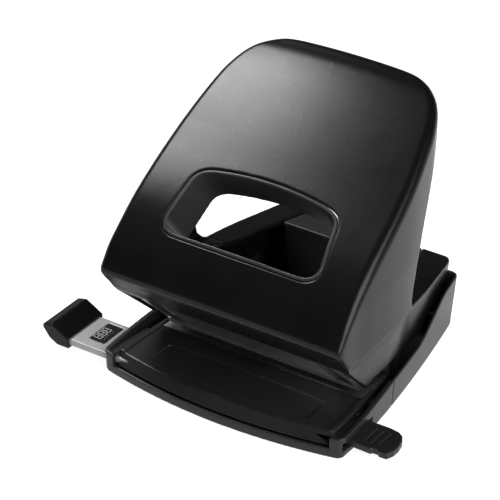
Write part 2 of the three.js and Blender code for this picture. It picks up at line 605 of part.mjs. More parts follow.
// ---------- chip tray ----------
{
  const outline = mirrored([[0, SEAM_Y], ...baseSide(0, SEAM_Y, BASE_DEPTH - 2, 10), [halfWidth(BASE_DEPTH) - 1.6, BASE_DEPTH], [0, BASE_DEPTH]]);
  const inside = mirrored([[0, SEAM_Y - 1], ...baseSide(WALL, SEAM_Y - 1, BASE_DEPTH - 2.6, 10),
    [halfWidth(BASE_DEPTH) - 2.6, BASE_DEPTH - WALL + 0.2], [0, BASE_DEPTH - WALL + 0.2]]);
  const topLine = [[SEAM_Y, 0], [BASE_DEPTH + 2, 0], [BASE_DEPTH + 2, TRAY_TOP], [94.7, TRAY_TOP], [90, 23],
    [74, 16], [67, 13.9], [SEAM_Y, SIDE_TOP]];
  const walls = cut(alongZ(outline, RIM_Z, 30, leanOut), alongZ(inside, FLOOR_Z + 1.2, 31, leaning(THIN_LEAN)),
    alongZ(inside, 0, FLOOR_Z, leanOut))
    .intersect(alongX(topLine, -70, 70));
  const tongue = box(-48.8, 48.8, 25, SEAM_Y + 2, FLOOR_Z, FLOOR_Z + 1.2);
  let tray = walls.add(tongue);
  for (const side of [-1, 1]) {
    const ear = cut(joined(box(side * 46 - 1.5, side * 46 + 1.5, TRAY_AXIS_Y - 2, TRAY_AXIS_Y + 3, FLOOR_Z, TRAY_AXIS_Z),
      rodX(2, side * 46 - 1.5, side * 46 + 1.5, TRAY_AXIS_Y, TRAY_AXIS_Z, 24)),
    rodX(TRAY_PIN_R + GAP, side * 46 - 3, side * 46 + 3, TRAY_AXIS_Y, TRAY_AXIS_Z, 20));
    tray = cut(tray, box(side * 49.4 - 1.2, side * 49.4 + 1.2, 20, SEAM_Y - 1, 0, 8)).add(ear);
  }
  place('chip_tray', tray, mattBlack);
}

// ---------- tray hinge pins, held in the base ----------
for (const side of [-1, 1]) {
  const pin = rodX(TRAY_PIN_R, side * 47.6 - 3.4, side * 47.6 + 3.4, TRAY_AXIS_Y, TRAY_AXIS_Z, 20);
  place(side < 0 ? 'tray_pin_left' : 'tray_pin_right', pin, steel);
}

// ---------- feet and the anti-slip mat ----------
{
  const foot = (x, y) => turned([[0, 0], [4.4, 0], [4.4, FLOOR_Z - GAP], [0, FLOOR_Z - GAP]], x, y, 28);
  place('front_foot_left', foot(-44, 6), rubber);
  place('front_foot_right', foot(44, 6), rubber);
  place('rear_foot_left', foot(-32, 98), rubber);
  place('rear_foot_right', foot(32, 98), rubber);
  place('underside_mat', box(-26, 26, 42, 60, 0, FLOOR_Z - GAP), rubber);
}

// the origin sits under the middle of the mat
model.children.forEach((mesh) => mesh.geometry.translate(0, -51, 0));

export default model;
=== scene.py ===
"""Looks of a two-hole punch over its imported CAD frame.

The moulded plastic pieces are made as distance fields in millimetres, so that every edge
gets its true radius, and are turned into meshes with OpenVDB. In the fields y is counted
from the front corners of the base; ORIGIN_Y moves it to the part's own origin.
"""

import json
import math

import bpy
import numpy as np
import openvdb
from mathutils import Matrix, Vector


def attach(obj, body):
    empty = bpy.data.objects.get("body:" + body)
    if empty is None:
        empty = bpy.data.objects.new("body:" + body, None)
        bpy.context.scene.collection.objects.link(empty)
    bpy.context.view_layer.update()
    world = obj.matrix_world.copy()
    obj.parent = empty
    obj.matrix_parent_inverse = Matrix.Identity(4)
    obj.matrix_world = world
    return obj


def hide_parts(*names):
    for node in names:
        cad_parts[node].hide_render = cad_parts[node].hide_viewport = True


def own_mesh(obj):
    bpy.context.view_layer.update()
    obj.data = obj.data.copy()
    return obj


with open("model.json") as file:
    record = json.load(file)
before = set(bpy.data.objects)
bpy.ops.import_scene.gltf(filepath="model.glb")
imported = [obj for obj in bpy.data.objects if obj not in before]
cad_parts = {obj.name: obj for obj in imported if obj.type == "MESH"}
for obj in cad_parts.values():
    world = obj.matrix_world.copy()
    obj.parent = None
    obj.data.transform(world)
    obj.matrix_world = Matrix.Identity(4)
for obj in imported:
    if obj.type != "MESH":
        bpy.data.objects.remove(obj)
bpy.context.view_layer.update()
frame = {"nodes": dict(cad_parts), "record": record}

# ---------- dimensions shared with the CAD, in mm ----------
ORIGIN_Y = 51  # from the front corners of the base to the part's origin
GAP = 0.3  # between pieces that touch

# Base and tray: one plan, whose walls lean outwards.
BASE_DEPTH = 108.9
BASE_HALF = 56.8  # half width at the front corners
BASE_BULGE = 6.7  # of the front edge, beyond the corners
FRONT_OUT = 0.9
BULGE_COS = 0.96  # mean slope of the bulged front edge
RIM_Z = 0.3
FLOOR_Z = 0.8
SEAM_Y = 41  # where the base ends and the tray starts
WALL = 1.5
SIDE_WALL = 2.2
SIDE_TOP = 13.3
SIDE_INNER_X = 51.8  # inner end of the base's corners and side walls
TRAY_TOP = 23.9
TRAY_FLOOR_T = 1.2
SIDE_CURVE = 0.0142
WALL_LEAN = 0.073
THIN_LEAN = 0.093  # of the inner faces, so that the walls thin upwards
TRAY_AXIS_Y, TRAY_AXIS_Z, TRAY_PIN_R = 26, 3.2, 0.8

# Paper table.
TABLE_TOP = 9
TABLE_FOOT = 4.4
TABLE_T = 1.6
CHAMFER_RUN, CHAMFER_COS = 3.4, 0.8
RIDGE_X = 51.4
RIDGE_W = 2.6
STOP_Y = 48.5
RECESS_HALF, RECESS_FRONT, RECESS_REAR, RECESS_BULGE = 37.5, 4.5, 18, 1.25

# Lever, with the finger window and the deck arms behind it.
PIVOT_Y, PIVOT_Z, AXLE_R = 12.5, 37.5, 2.5
PRESS_Z, PRESS_R = 36.6, 2.3
BOSS_T = 2.4
SHELL_T = 2.4
CROWN = 2.2
TUBE_WALL, TUBE_DEPTH, TUBE_DRAFT = 1.4, 19.5, 0.0022
WINDOW_AT = (11.2, 67.4)  # middle of the lower edge, as (y, z)
WINDOW_UP = (0.79, 0.613)
WINDOW_IN = (0.66, -0.751)
WINDOW_MIDDLE = 15  # the taper's centre, above the lower edge
DECK_REAR_Y, DECK_REAR_Z, DECK_RISE = 108.2, 31.8, 0.068
BLOCK_FRONT_Y = 92
BLOCK_HALF, BLOCK_SPREAD = 28.8, 0.25  # half width at the rear, and its growth forwards

# Pins and springs.
PIN_X, PIN_Y = 40, 36.5
SPRING_LOW, SPRING_HIGH = 22.7, 30.5
SPRING_R, WIRE_R, SPRING_TURNS = 3.55, 0.38, 4

# Format bar.
BAR_Y, BAR_W, BAR_Z, BAR_T = 11.6, 21.2, 3.6, 3
RAIL_LEFT, RAIL_RIGHT = -78.4, 40
DETENT_PITCH, DETENT_R, DETENT_DEPTH, DETENT_COUNT = 8, 1.1, 0.7, 8
LABEL_GAP = 0.1


# ---------- distance fields ----------
FIELD_REACH = 2.0  # distances are cut off here when a field becomes a mesh


class Grid:
    """Sample points of a box. x, y and z broadcast against each other."""

    def __init__(self, low, high, pitch, half=False):
        spans = []
        for axis, (a, b) in enumerate(zip(low, high)):
            first = 0 if half and axis == 0 else a - 3 * pitch
            spans.append(np.arange(first, b + 3 * pitch, pitch, dtype=np.float32))
        self.half = half
        self.pitch = pitch
        self.x = spans[0][:, None, None]
        self.y = spans[1][None, :, None]
        self.z = spans[2][None, None, :]
        first_x = -spans[0][-1] if half else spans[0][0]
        self.start = np.array([first_x, spans[1][0] - ORIGIN_Y, spans[2][0]])


class Outline:
    """Signed distance to a closed outline, sampled once and read back at any points."""

    def __init__(self, points, pitch=0.4, margin=4):
        corners = np.array(points, np.float32)
        self.pitch = pitch
        self.low = corners.min(0) - margin
        size = corners.max(0) + margin - self.low
        self.count = np.ceil(size / pitch).astype(int) + 1
        a = (self.low[0] + pitch * np.arange(self.count[0]))[:, None]
        b = (self.low[1] + pitch * np.arange(self.count[1]))[None, :]
        nearest = np.full(tuple(self.count), 1e9)
        inside = np.zeros(tuple(self.count), bool)
        for (a0, b0), (a1, b1) in zip(corners, np.roll(corners, -1, 0)):
            da, db = a1 - a0, b1 - b0
            t = np.clip(((a - a0) * da + (b - b0) * db) / max(da * da + db * db, 1e-9), 0, 1)
            nearest = np.minimum(nearest, (a - a0 - t * da) ** 2 + (b - b0 - t * db) ** 2)
            if db != 0:
                inside ^= ((b0 > b) != (b1 > b)) & (a < a0 + (b - b0) * da / db)
        self.table = (np.where(inside, -1, 1) * np.sqrt(nearest)).astype(np.float32)

    def at(self, a, b):
        i = np.clip((a - self.low[0]) / self.pitch, 0, self.count[0] - 1.01)
        j = np.clip((b - self.low[1]) / self.pitch, 0, self.count[1] - 1.01)
        i, j = np.broadcast_arrays(i, j)
        i0, j0 = i.astype(np.int32), j.astype(np.int32)
        fi, fj = i - i0, j - j0
        t = self.table
        near = t[i0, j0] * (1 - fj) + t[i0, j0 + 1] * fj
        far = t[i0 + 1, j0] * (1 - fj) + t[i0 + 1, j0 + 1] * fj
        return near * (1 - fi) + far * fi


def both(a, b, radius=0.0):
    """Where two solids overlap, with the new edge rounded."""
    if np.ndim(radius) == 0 and radius == 0:
        return np.maximum(a, b)
    outside = np.hypot(np.maximum(a + radius, 0), np.maximum(b + radius, 0))
    return np.minimum(-radius, np.maximum(a, b)) + outside


def either(a, b, radius=0.0):
    """Two solids joined, with the inner corner filleted."""
    return -both(-a, -b, radius)


def without(a, b, radius=0.0):
    return both(a, -b, radius)


def slab(value, low, high):
    return np.maximum(low - value, value - high)


def block(grid, x, y, z, radius=0.0):
    """Box from spans in x, y and z, with rounded edges."""
    flat = both(slab(grid.x, *x), slab(grid.y, *y), radius)
    return both(flat, slab(grid.z, *z), radius)


def rod_x(grid, radius, x, y, z):
    return both(np.hypot(grid.y - y, grid.z - z) - radius, slab(grid.x, *x), 0.3)


def place(x, y, z):
    """A point of the fields, in mm, in the part's own frame in metres."""
    return (x / 1000, (y - ORIGIN_Y) / 1000, z / 1000)


def add_mesh(name, points, faces, material, smooth=True):
    mesh = bpy.data.meshes.new(name)
    mesh.from_pydata(points, [], faces)
    mesh.validate()
    if smooth:
        mesh.shade_smooth()
    mesh.materials.append(material)
    item = bpy.data.objects.new(name, mesh)
    bpy.context.scene.collection.objects.link(item)
    return item


def outward(mesh):
    """Faces the mesh outwards if its volume comes out negative."""
    centre = np.empty(len(mesh.polygons) * 3)
    normal = np.empty(len(mesh.polygons) * 3)
    area = np.empty(len(mesh.polygons))
    mesh.polygons.foreach_get("center", centre)
    mesh.polygons.foreach_get("normal", normal)
    mesh.polygons.foreach_get("area", area)
    volume = (centre.reshape(-1, 3) * normal.reshape(-1, 3)).sum(1) @ area
    if volume < 0:
        mesh.flip_normals()


def moulded(name, grid, field, body, replaces, material):
    """Piece that fills the space where the field is below zero."""
    field = np.broadcast_to(field, (grid.x.size, grid.y.size, grid.z.size))
    if grid.half:
        field = np.concatenate([field[:0:-1], field])
    vdb = openvdb.FloatGrid(FIELD_REACH)
    field = np.clip(field, -FIELD_REACH, FIELD_REACH)
    vdb.copyFromArray(np.ascontiguousarray(field, dtype=np.float32))
    points, triangles, quads = vdb.convertToPolygons(isovalue=0.0, adaptivity=0.0)
    points = (points * grid.pitch + grid.start) / 1000
    faces = [tuple(q) for q in quads.tolist()] + [tuple(t) for t in triangles.tolist()]
    piece = add_mesh(name, points.tolist(), faces, material)
    outward(piece.data)
    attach(piece, body)
    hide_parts(*replaces)


# ---------- materials ----------
def nodes_of(name):
    material = bpy.data.materials.new(name)
    material.use_nodes = True
    tree = material.node_tree
    shader = tree.nodes["Principled BSDF"]
    where = tree.nodes.new("ShaderNodeTexCoord")
    return material, tree, shader, where.outputs["Object"]


def noise(tree, where, scale, detail=2.0, stretch=None):
    node = tree.nodes.new("ShaderNodeTexNoise")
    node.inputs["Scale"].default_value = scale
    node.inputs["Detail"].default_value = detail
    if stretch:
        mapping = tree.nodes.new("ShaderNodeMapping")
        mapping.inputs["Scale"].default_value = stretch
        tree.links.new(where, mapping.inputs["Vector"])
        where = mapping.outputs["Vector"]
    tree.links.new(where, node.inputs["Vector"])
    return node.outputs["Fac"]


def spread(tree, value, low, high, start=0.3, end=0.7):
    """Takes start to end of the value onto low to high."""
    node = tree.nodes.new("ShaderNodeMapRange")
    node.inputs["From Min"].default_value = start
    node.inputs["From Max"].default_value = end
    node.inputs["To Min"].default_value = low
    node.inputs["To Max"].default_value = high
    tree.links.new(value, node.inputs["Value"])
    return node.outputs["Result"]


def mixed(tree, amount, first, second):
    """Mix of two colours, each a tuple or another node's output."""
    node = tree.nodes.new("ShaderNodeMix")
    node.data_type = "RGBA"
    tree.links.new(amount, node.inputs["Factor"])
    for socket, value in ((node.inputs[6], first), (node.inputs[7], second)):
        if isinstance(value, bpy.types.NodeSocket):
            tree.links.new(value, socket)
        else:
            socket.default_value = (*value, 1)
    return node.outputs[2]


def bumps(tree, shader, *layers):
    """Adds (height, depth in metres) layers to the shader's normal."""
    normal = None
    for height, depth in layers:
        node = tree.nodes.new("ShaderNodeBump")
        node.inputs["Distance"].default_value = depth
        tree.links.new(height, node.inputs["Height"])
        if normal:
            tree.links.new(normal, node.inputs["Normal"])
        normal = node.outputs["Normal"]
    tree.links.new(normal, shader.inputs["Normal"])


def plastic(name, color, roughness, grain=0.00002, grain_size=0.0005, wear=0.5, ior=1.5):
    """Moulded plastic: spark-eroded grain, faint flow marks, edges rubbed a little lighter."""
    material, tree, shader, where = nodes_of(name)
    cloud = noise(tree, where, 45, 3)
    worn = tree.nodes.new("ShaderNodeNewGeometry").outputs["Pointiness"]
    edge = spread(tree, worn, 0, wear, 0.51, 0.6)
    dark = tuple(c * 0.86 for c in color)
    light = tuple(c * 1.14 for c in color)
    rubbed = tuple(min(1, c * 2.2 + 0.004) for c in color)
    body = mixed(tree, spread(tree, cloud, 0, 1), dark, light)
    tree.links.new(mixed(tree, edge, body, rubbed), shader.inputs["Base Color"])
    smudge = spread(tree, noise(tree, where, 120, 4), roughness - 0.012, roughness + 0.012)
    tree.links.new(smudge, shader.inputs["Roughness"])
    fine = noise(tree, where, 1 / grain_size, 2)
    bumps(tree, shader, (fine, grain), (cloud, grain * 0.3))
    shader.inputs["IOR"].default_value = ior
    return material


def metal(name, color, roughness, brushed=(1, 1, 1)):
    """Sheet or bar steel: fine drawn lines and faint stains."""
    material, tree, shader, where = nodes_of(name)
    shader.inputs["Metallic"].default_value = 1
    stain = spread(tree, noise(tree, where, 90, 4), 0, 1)
    lines = noise(tree, where, 900, 2, brushed)
    dark = tuple(c * 0.8 for c in color)
    tree.links.new(mixed(tree, stain, dark, color), shader.inputs["Base Color"])
    drawn = spread(tree, lines, roughness - 0.08, roughness + 0.1)
    tree.links.new(drawn, shader.inputs["Roughness"])
    bumps(tree, shader, (lines, 0.00001))
    return material


def rubber_like(name, color):
    """Dull rubber with a coarse grain."""
    material, tree, shader, where = nodes_of(name)
    cloud = noise(tree, where, 200, 4)
    light = tuple(c * 1.5 for c in color)
    body = mixed(tree, spread(tree, cloud, 0, 1), color, light)
    tree.links.new(body, shader.inputs["Base Color"])
    tree.links.new(spread(tree, cloud, 0.75, 0.95), shader.inputs["Roughness"])
    bumps(tree, shader, (noise(tree, where, 2500, 2), 0.00005))
    return material


SATIN = plastic("satin_black", (0.003, 0.0031, 0.0033), 0.28, 0.00003, 0.0005, ior=1.25)
# The duct's black is lighter than the lever's satin black: painted light that falls into the
# finger window.
TUBE_PAINTED_LIGHT = plastic("tube_black_painted_light", (0.016, 0.0163, 0.017), 0.36, 0.00004, 0.0006, ior=1.3)
MATT = plastic("matt_black", (0.013, 0.0133, 0.014), 0.38, 0.00005, 0.0006, ior=1.3)
DEEP = plastic("deep_black", (0.004, 0.004, 0.0045), 0.5)
GREY = plastic("rail_grey", (0.24, 0.245, 0.25), 0.42, grain=0.000008, wear=0.1)
LABEL = plastic("label_black", (0.008, 0.008, 0.008), 0.25, grain=0.000003, wear=0.1)
STEEL = metal("drawn_steel", (0.56, 0.57, 0.58), 0.34, (1, 12, 12))
ZINC = metal("zinc_plated", (0.66, 0.67, 0.68), 0.38)
RUBBER = rubber_like("rubber_black", (0.014, 0.014, 0.014))

LOOKS = {
    "base": MATT,
    "deep_black": DEEP,
    "lever": SATIN,
    "rail": GREY,
    "label": LABEL,
    "steel": STEEL,
    "zinc": ZINC,
    "rubber": RUBBER,
}
for part in frame["record"]["subparts"]:
    mesh = frame["nodes"][part["node"]].data
    mesh.materials.clear()
    mesh.materials.append(LOOKS[part["material_slot"]])


# ---------- outlines ----------
def half_width(y):
    return BASE_HALF - SIDE_CURVE * np.maximum(0, y - 8) ** 1.5


def deck_height(y):
    return DECK_REAR_Z + DECK_RISE * (DECK_REAR_Y - y)


def block_edge(y):
    """Half width of the space that the rear block fills between the deck arms."""
    return BLOCK_HALF + BLOCK_SPREAD * (DECK_REAR_Y - y)


def spline(points, count):
    """Catmull-Rom curve through the points, and its unit tangents."""
    p = np.array(points, float)
    p = np.vstack([2 * p[0] - p[1], p, 2 * p[-1] - p[-2]])
    spans = len(points) - 1
    s = np.linspace(0, spans, count)
    i = np.minimum(s.astype(int), spans - 1)
    t = (s - i)[:, None]
    a, b, c, d = p[i], p[i + 1], p[i + 2], p[i + 3]
    bend, twist = 2 * a - 5 * b + 4 * c - d, 3 * b - a - 3 * c + d
    where = 0.5 * (2 * b + (c - a) * t + bend * t**2 + twist * t**3)
    along = (c - a) + 2 * bend * t + 3 * twist * t**2
    return where, along / np.linalg.norm(along, axis=1)[:, None]


def inset(curve, distance):
    """A (y, z) curve moved to its right-hand side."""
    where, along = curve
    return [(p[0] + a[1] * distance, p[1] - a[0] * distance) for p, a in zip(where, along)]


CURVE_POINTS = 90
# The front plate in (y, z), and the upper and lower side walls in (x, y).
PLATE = spline([(-1.6, 52.5), (4.5, 61), (20, 75.9), (45, 93), (70, 109.2), (84, 116.9),
                (90.4, 119.2)], CURVE_POINTS)
UPPER_SIDE = spline([(56.9, -6), (56.7, 2), (56.2, 12), (56, 24), (55.3, 40), (53.8, 55),
                     (50.9, 70), (48.8, 77), (45.6, 83.6), (41.2, 88.8), (35.2, 93),
                     (25, 96.6), (0, 97.7)], CURVE_POINTS)
SKIRT_SIDE = spline([(55.6, -6), (55.2, 5), (54.4, 12), (54.1, 24), (53.4, 40), (52.1, 50),
                     (51, 55), (49.5, 62), (48.6, 70), (47.2, 80), (45.7, 88), (43.9, 97.4),
                     (42.2, 105.2), (39.8, 107.9), (37, 108.2)], CURVE_POINTS)
TOP_Y, TOP_Z, TOP_R = 92.6, 114.7, 5
LIP_LOW = (5, 36.4)
LIP_HIGH = (-1.4, 45.2)
REAR_TOP = (96.4, 110.6)
REAR_EDGE = [(61, 35), (58.6, 36), (57, 38.4), (56.2, 42), (56.7, 46), (59.4, 57), (64.8, 70),
             (72.4, 85), (80, 100), (86.4, 110), REAR_TOP]


def top_arc(inward):
    """The rounded top edge in (y, z), from the plate over to the rear."""
    radius = TOP_R - inward
    return [(TOP_Y + radius * math.cos(a), TOP_Z + radius * math.sin(a))
            for a in np.linspace(1.88, -0.6, 16)]


# ---------- lever ----------
def crown_drop(grid):
    """How far the plate falls away towards its sides."""
    return CROWN * (grid.x / 50) ** 2 * np.clip((grid.z - 45) / 50, 0, 1)


def mirrored(curve):
    """Closed plan from one side's (x, y) curve."""
    half = [(0, curve[0][1])] + [tuple(p) for p in curve] + [(0, curve[-1][1])]
    return half + [(-a, b) for a, b in reversed(half) if a > 0.01]


def lever_fields(grid):
    """Distances to the plate, the hollow behind it and the side walls."""
    x, y, z = grid.x, grid.y, grid.z
    front = [(LIP_LOW[0], -30), LIP_LOW, (2.2, 40.6), LIP_HIGH, (-3.2, 48), (-3, 50.2)]
    rear = [REAR_TOP, (REAR_TOP[0], 60), (125, 60), (125, -30)]
    outer = front + inset(PLATE, 0) + top_arc(0)[1:] + rear
    t = SHELL_T
    behind = [(LIP_LOW[0] + t, -30), (LIP_LOW[0] + t, 34),
              (LIP_HIGH[0] + t + 0.4, 46), (LIP_HIGH[0] + t - 0.6, 50.5)]
    inner = (behind + inset(PLATE, t)[2:] + top_arc(t)[1:-1]
             + [(94.2, 108.4), (130, 108.4), (130, -30)])
    drop = crown_drop(grid)
    plate = Outline(outer).at(y, z + drop)
    hollow = Outline(inner).at(y, z + drop)
    high = Outline(mirrored(UPPER_SIDE[0])).at(x + 0.03 * np.maximum(0, 60 - z), y)
    low = Outline(mirrored(SKIRT_SIDE[0])).at(x + 0.12 * np.maximum(0, 34 - z), y)
    level = np.clip((z - 35.2) / 2.5, 0, 1)  # the step from the skirt to the upper wall
    side = low * (1 - level) + high * level
    return plate, hollow, side


def arc(p0, p1, p2, count=9):
    """Quadratic curve from p0 to p2 that heads for p1."""
    p0, p1, p2 = np.array(p0), np.array(p1), np.array(p2)
    return [tuple((1 - t) ** 2 * p0 + 2 * t * (1 - t) * p1 + t * t * p2)
            for t in np.linspace(0, 1, count)]


def window_field(grid, grow, draft=0.0):
    """Distance to the finger window's outline, and the depth behind the plate."""
    y, z = grid.y - WINDOW_AT[0], grid.z - WINDOW_AT[1]
    up = y * WINDOW_UP[0] + z * WINDOW_UP[1]
    depth = y * WINDOW_IN[0] + z * WINDOW_IN[1]
    corner = (25.5, 28.6)
    right = arc((28, 0), (35.6, 0), (35.4, 6)) + arc((32.9, 22.5), (32, 27.2), corner)
    top = arc(corner, (0, 33.4), (-corner[0], corner[1]), 17)[1:-1]
    left = [(-a, b) for a, b in reversed(right)]
    outline = Outline(right + top + left, 0.3, 6)
    taper = 1 + draft * depth
    level = WINDOW_MIDDLE + (up - WINDOW_MIDDLE) * taper
    return outline.at(np.abs(grid.x) * taper, level) - grow, depth


def build_lever():
    """Skin of the lever: lip, plate, side walls, skirt and the two deck arms."""
    grid = Grid((0, -4, 8), (57, 110, 121), 0.5, half=True)
    x, y, z = grid.x, grid.y, grid.z
    plate, hollow, side = lever_fields(grid)
    outer = both(plate, side, np.interp(z, [40, 75], [1.8, 4.2]))
    lower_edge = [LIP_LOW, (25.3, 16.7), (29.4, 18.6), (51.3, 17), (51.8, 9.6), (62, 10.9),
                  (85, 15.2), (130, 22.7)]
    rear = [(130, deck_height(130))] + REAR_EDGE + [(130, 115)]
    keep = Outline([(-30, 36.4)] + lower_edge + rear + [(130, 150), (-30, 150)]).at(y, z)
    outer = both(outer, keep, 0.8)
    cavity = both(hollow, side + SHELL_T, 1.0)
    gap_x = np.interp(y, [50, 55.5, 60, 70, 84, 112], [46, 43.4, 39.5, 36.2, 33.93, 26.4])
    deck = deck_height(y)
    top = deck + 3 * np.clip((y - 61.5) / 1.5, 0, 1)
    arms_y = 44
    arms = np.maximum(deck - SHELL_T - z, z - top)
    arms = np.maximum(arms, np.maximum(gap_x - 3 - x, arms_y - y))
    shell = without(outer, without(cavity, arms, 0.5), 0.5)
    between = np.maximum(np.maximum(x - gap_x, arms_y - y), z - deck - 2)
    shell = without(shell, between, 0.5)
    frame_room = block(grid, (-46.4, 46.4), (arms_y, 62), (0, 24))
    shell = without(shell, frame_room, 0.2)
    for cy, cz, radius in ((PIVOT_Y, PIVOT_Z, AXLE_R), (PIN_Y, PRESS_Z, PRESS_R)):
        boss = np.maximum(rod_x(grid, radius + BOSS_T, (46.8, 54), cy, cz), side + 1)
        shell = either(shell, boss, 0.6)
        shell = without(shell, rod_x(grid, radius + GAP, (40, 48.9), cy, cz), 0.2)
    opening, depth = window_field(grid, GAP + TUBE_WALL)
    shell = without(shell, np.maximum(opening, slab(depth, -8, 8)), 0.5)
    moulded("lever_skin", grid, shell, "lever", ["lever_shell"], SATIN)


def build_window():
    """Tapered duct behind the finger window, in a lighter black that paints in the light falling
    into it.
    """
    grid = Grid((0, 8, 46), (38, 56, 90), 0.4, half=True)
    face = inset(PLATE, 0) + [(130, 119), (130, 0), (-1.6, 0)]
    skin = Outline(face).at(grid.y, grid.z + crown_drop(grid))
    outside, depth = window_field(grid, TUBE_WALL)
    inside, depth = window_field(grid, 0, TUBE_DRAFT)
    tube = without(outside, inside, 0.5)
    tube = both(both(tube, skin - 0.1, 0.4), depth - TUBE_DEPTH, 0.4)
    moulded("window_duct", grid, tube, "lever", ["window_tube"], TUBE_PAINTED_LIGHT)


# ---------- base, table, tray and rear block ----------
def front_edge(x):
    """The base's front edge: a shallow arch from corner to corner."""
    return -FRONT_OUT - BASE_BULGE * (1 - (x / (BASE_HALF - 0.5)) ** 2)


def base_plan(grid, inward, corner=2.5):
    """Distance to the base's side and front walls, moved inwards."""
    x = np.abs(grid.x)
    lean = WALL_LEAN * (grid.z - FLOOR_Z)
    side = x - half_width(grid.y) - lean + (SIDE_WALL if inward else 0)
    front = (front_edge(x) + inward - grid.y) * BULGE_COS
    return both(side, front, corner)


def build_base():
    """Pan with low side walls, the corners that carry the bar, and the tray's hinge lugs."""
    grid = Grid((0, -9, 0), (58.5, 42, 15), 0.4, half=True)
    x, y, z = grid.x, grid.y, grid.z
    outer = both(base_plan(grid, 0), y - (SEAM_Y - GAP), 0.3)
    inner = base_plan(grid, WALL, 1.2)
    pan = both(outer, slab(z, RIM_Z, 4.2), 0.4)
    pan = without(pan, np.maximum(inner, FLOOR_Z + WALL - z), 0.4)
    pan = without(pan, np.maximum(inner, z - FLOOR_Z), 0.2)
    shape = [(-3.4, 0), (60, 0), (60, 15), (SEAM_Y, SIDE_TOP), (27, 12.1), (12, 10.5),
             (-3.4, 9.2)]
    walls = both(without(outer, inner, 0.4), Outline(shape).at(y, z), 0.6)
    walls = np.maximum(walls, np.maximum(FLOOR_Z + 0.4 - z, SIDE_INNER_X - x))
    base = either(pan, walls, 0.2)
    corner = block(grid, (SIDE_INNER_X, 56.2), (-2.1, 1.3), (FLOOR_Z, 8.9), 0.5)
    base = either(base, both(corner, outer, 0.5), 0.2)
    bridge = block(grid, (SIDE_INNER_X, 60), (-2, 24), (7.4, 8.4), 0.2)
    bridge = np.maximum(bridge, outer + 0.5)
    base = either(base, bridge, 0.2)
    lug = block(grid, (49.7, 52.3), (23.8, 28.6), (FLOOR_Z, 4.9), 0.3)
    base = either(base, lug)
    hole = rod_x(grid, TRAY_PIN_R + GAP, (48, 54), TRAY_AXIS_Y, TRAY_AXIS_Z)
    bay = block(grid, (-49.4, 49.4), (22.6, 50), (-5, 5))
    reach = BAR_W / 2 + 0.6
    way = block(grid, (-70, 70), (BAR_Y - reach, BAR_Y + reach),
                (BAR_Z - 0.5, BAR_Z + BAR_T + 0.5), 0.4)
    for tool in (hole, bay, way):
        base = without(base, tool, 0.2)
    moulded("base_pan", grid, base, "base", ["base_shell"], MATT)


def build_table():
    """Paper table: chamfered front edge, a rib at each side and a shallow recess."""
    grid = Grid((0, -7, 3.5), (52, 49, 11), 0.35, half=True)
    x, y, z = grid.x, grid.y, grid.z
    side_x = half_width(y) - BASE_HALF + RIDGE_X
    rise = (z - TABLE_FOOT) / (TABLE_TOP - TABLE_FOOT)
    front = (front_edge(x) + WALL + GAP + CHAMFER_RUN * rise - y) * CHAMFER_COS
    plan = both(x - side_x, front, 1.2)
    plan = both(plan, y - (STOP_Y - 0.9), 0.3)
    top = z - TABLE_TOP
    table = both(both(plan, top, 0.5), TABLE_FOOT - z, 0.2)
    hollow = both(x - side_x + 1.4, front + 3, 0.5)
    hollow = np.maximum(hollow, z - TABLE_TOP + TABLE_T)
    table = without(table, hollow, 0.3)
    rib = both(slab(x - side_x, -RIDGE_W, 0), slab(z, TABLE_TOP - 1, TABLE_TOP + 0.8), 0.5)
    rib = both(rib, slab(y, 2.6, STOP_Y - 0.9), 0.5)
    table = either(table, rib, 0.2)
    recess_end = RECESS_REAR + RECESS_BULGE * (1 - (x / RECESS_HALF) ** 2)
    recess = both(x - RECESS_HALF, np.maximum(RECESS_FRONT - y, y - recess_end), 1.0)
    recess = np.maximum(recess, TABLE_TOP - 0.7 - z)
    table = without(table, recess, 0.25)
    bays = [((-48.2, 48.2), (27.9, 45.1), (0, 12)), ((-46.6, 46.6), (27.4, 60), (0, 7.5)),
            ((-52, 52), (22.6, 60), (0, 5.6)), ((-70, 70), (0.4, 22.8), (0, 7.1))]
    for bay in bays:
        table = without(table, block(grid, *bay), 0.15)
    moulded("table_top", grid, table, "base", ["paper_table"], MATT)


def build_tray():
    """Chip tray with high rear walls, a tongue under the dies and two hinge ears."""
    grid = Grid((0, 24, 0), (57, 111, 25.5), 0.4, half=True)
    x, y, z = grid.x, grid.y, grid.z
    lean = WALL_LEAN * (z - FLOOR_Z)
    side = x - half_width(y) - lean
    back = y - BASE_DEPTH - lean
    outer = both(side, back, 3.0)
    thin = (THIN_LEAN - WALL_LEAN) * (z - FLOOR_Z)
    inner = both(side + WALL - thin, back + WALL - 0.2 - thin, 1.6)
    top_line = [(SEAM_Y, 0), (130, 0), (130, TRAY_TOP), (94.7, TRAY_TOP), (90, 23), (74, 16),
                (67, 13.9), (SEAM_Y, SIDE_TOP)]
    limit = Outline(top_line).at(y, z)
    floor_top = FLOOR_Z + TRAY_FLOOR_T
    walls = without(outer, np.maximum(inner, floor_top - z), 0.5)
    walls = both(walls, limit, 0.5)
    walls = both(walls, RIM_Z - z, 0.4)
    walls = without(walls, np.maximum(inner, z - FLOOR_Z), 0.2)
    tongue = block(grid, (-48.2, 48.2), (25, SEAM_Y + 2), (FLOOR_Z, floor_top), 0.3)
    tray = either(walls, tongue, 0.2)
    ear_x = (44.5, 47.5)
    ear_foot = (TRAY_AXIS_Y - 2, TRAY_AXIS_Y + 3)
    ear = block(grid, ear_x, ear_foot, (FLOOR_Z, TRAY_AXIS_Z), 0.2)
    ear = either(ear, rod_x(grid, 2, ear_x, TRAY_AXIS_Y, TRAY_AXIS_Z))
    tray = either(tray, ear)
    tray = without(tray, rod_x(grid, TRAY_PIN_R + GAP, (43, 49), TRAY_AXIS_Y, TRAY_AXIS_Z), 0.1)
    moulded("tray_pan", grid, tray, "tray", ["chip_tray"], MATT)


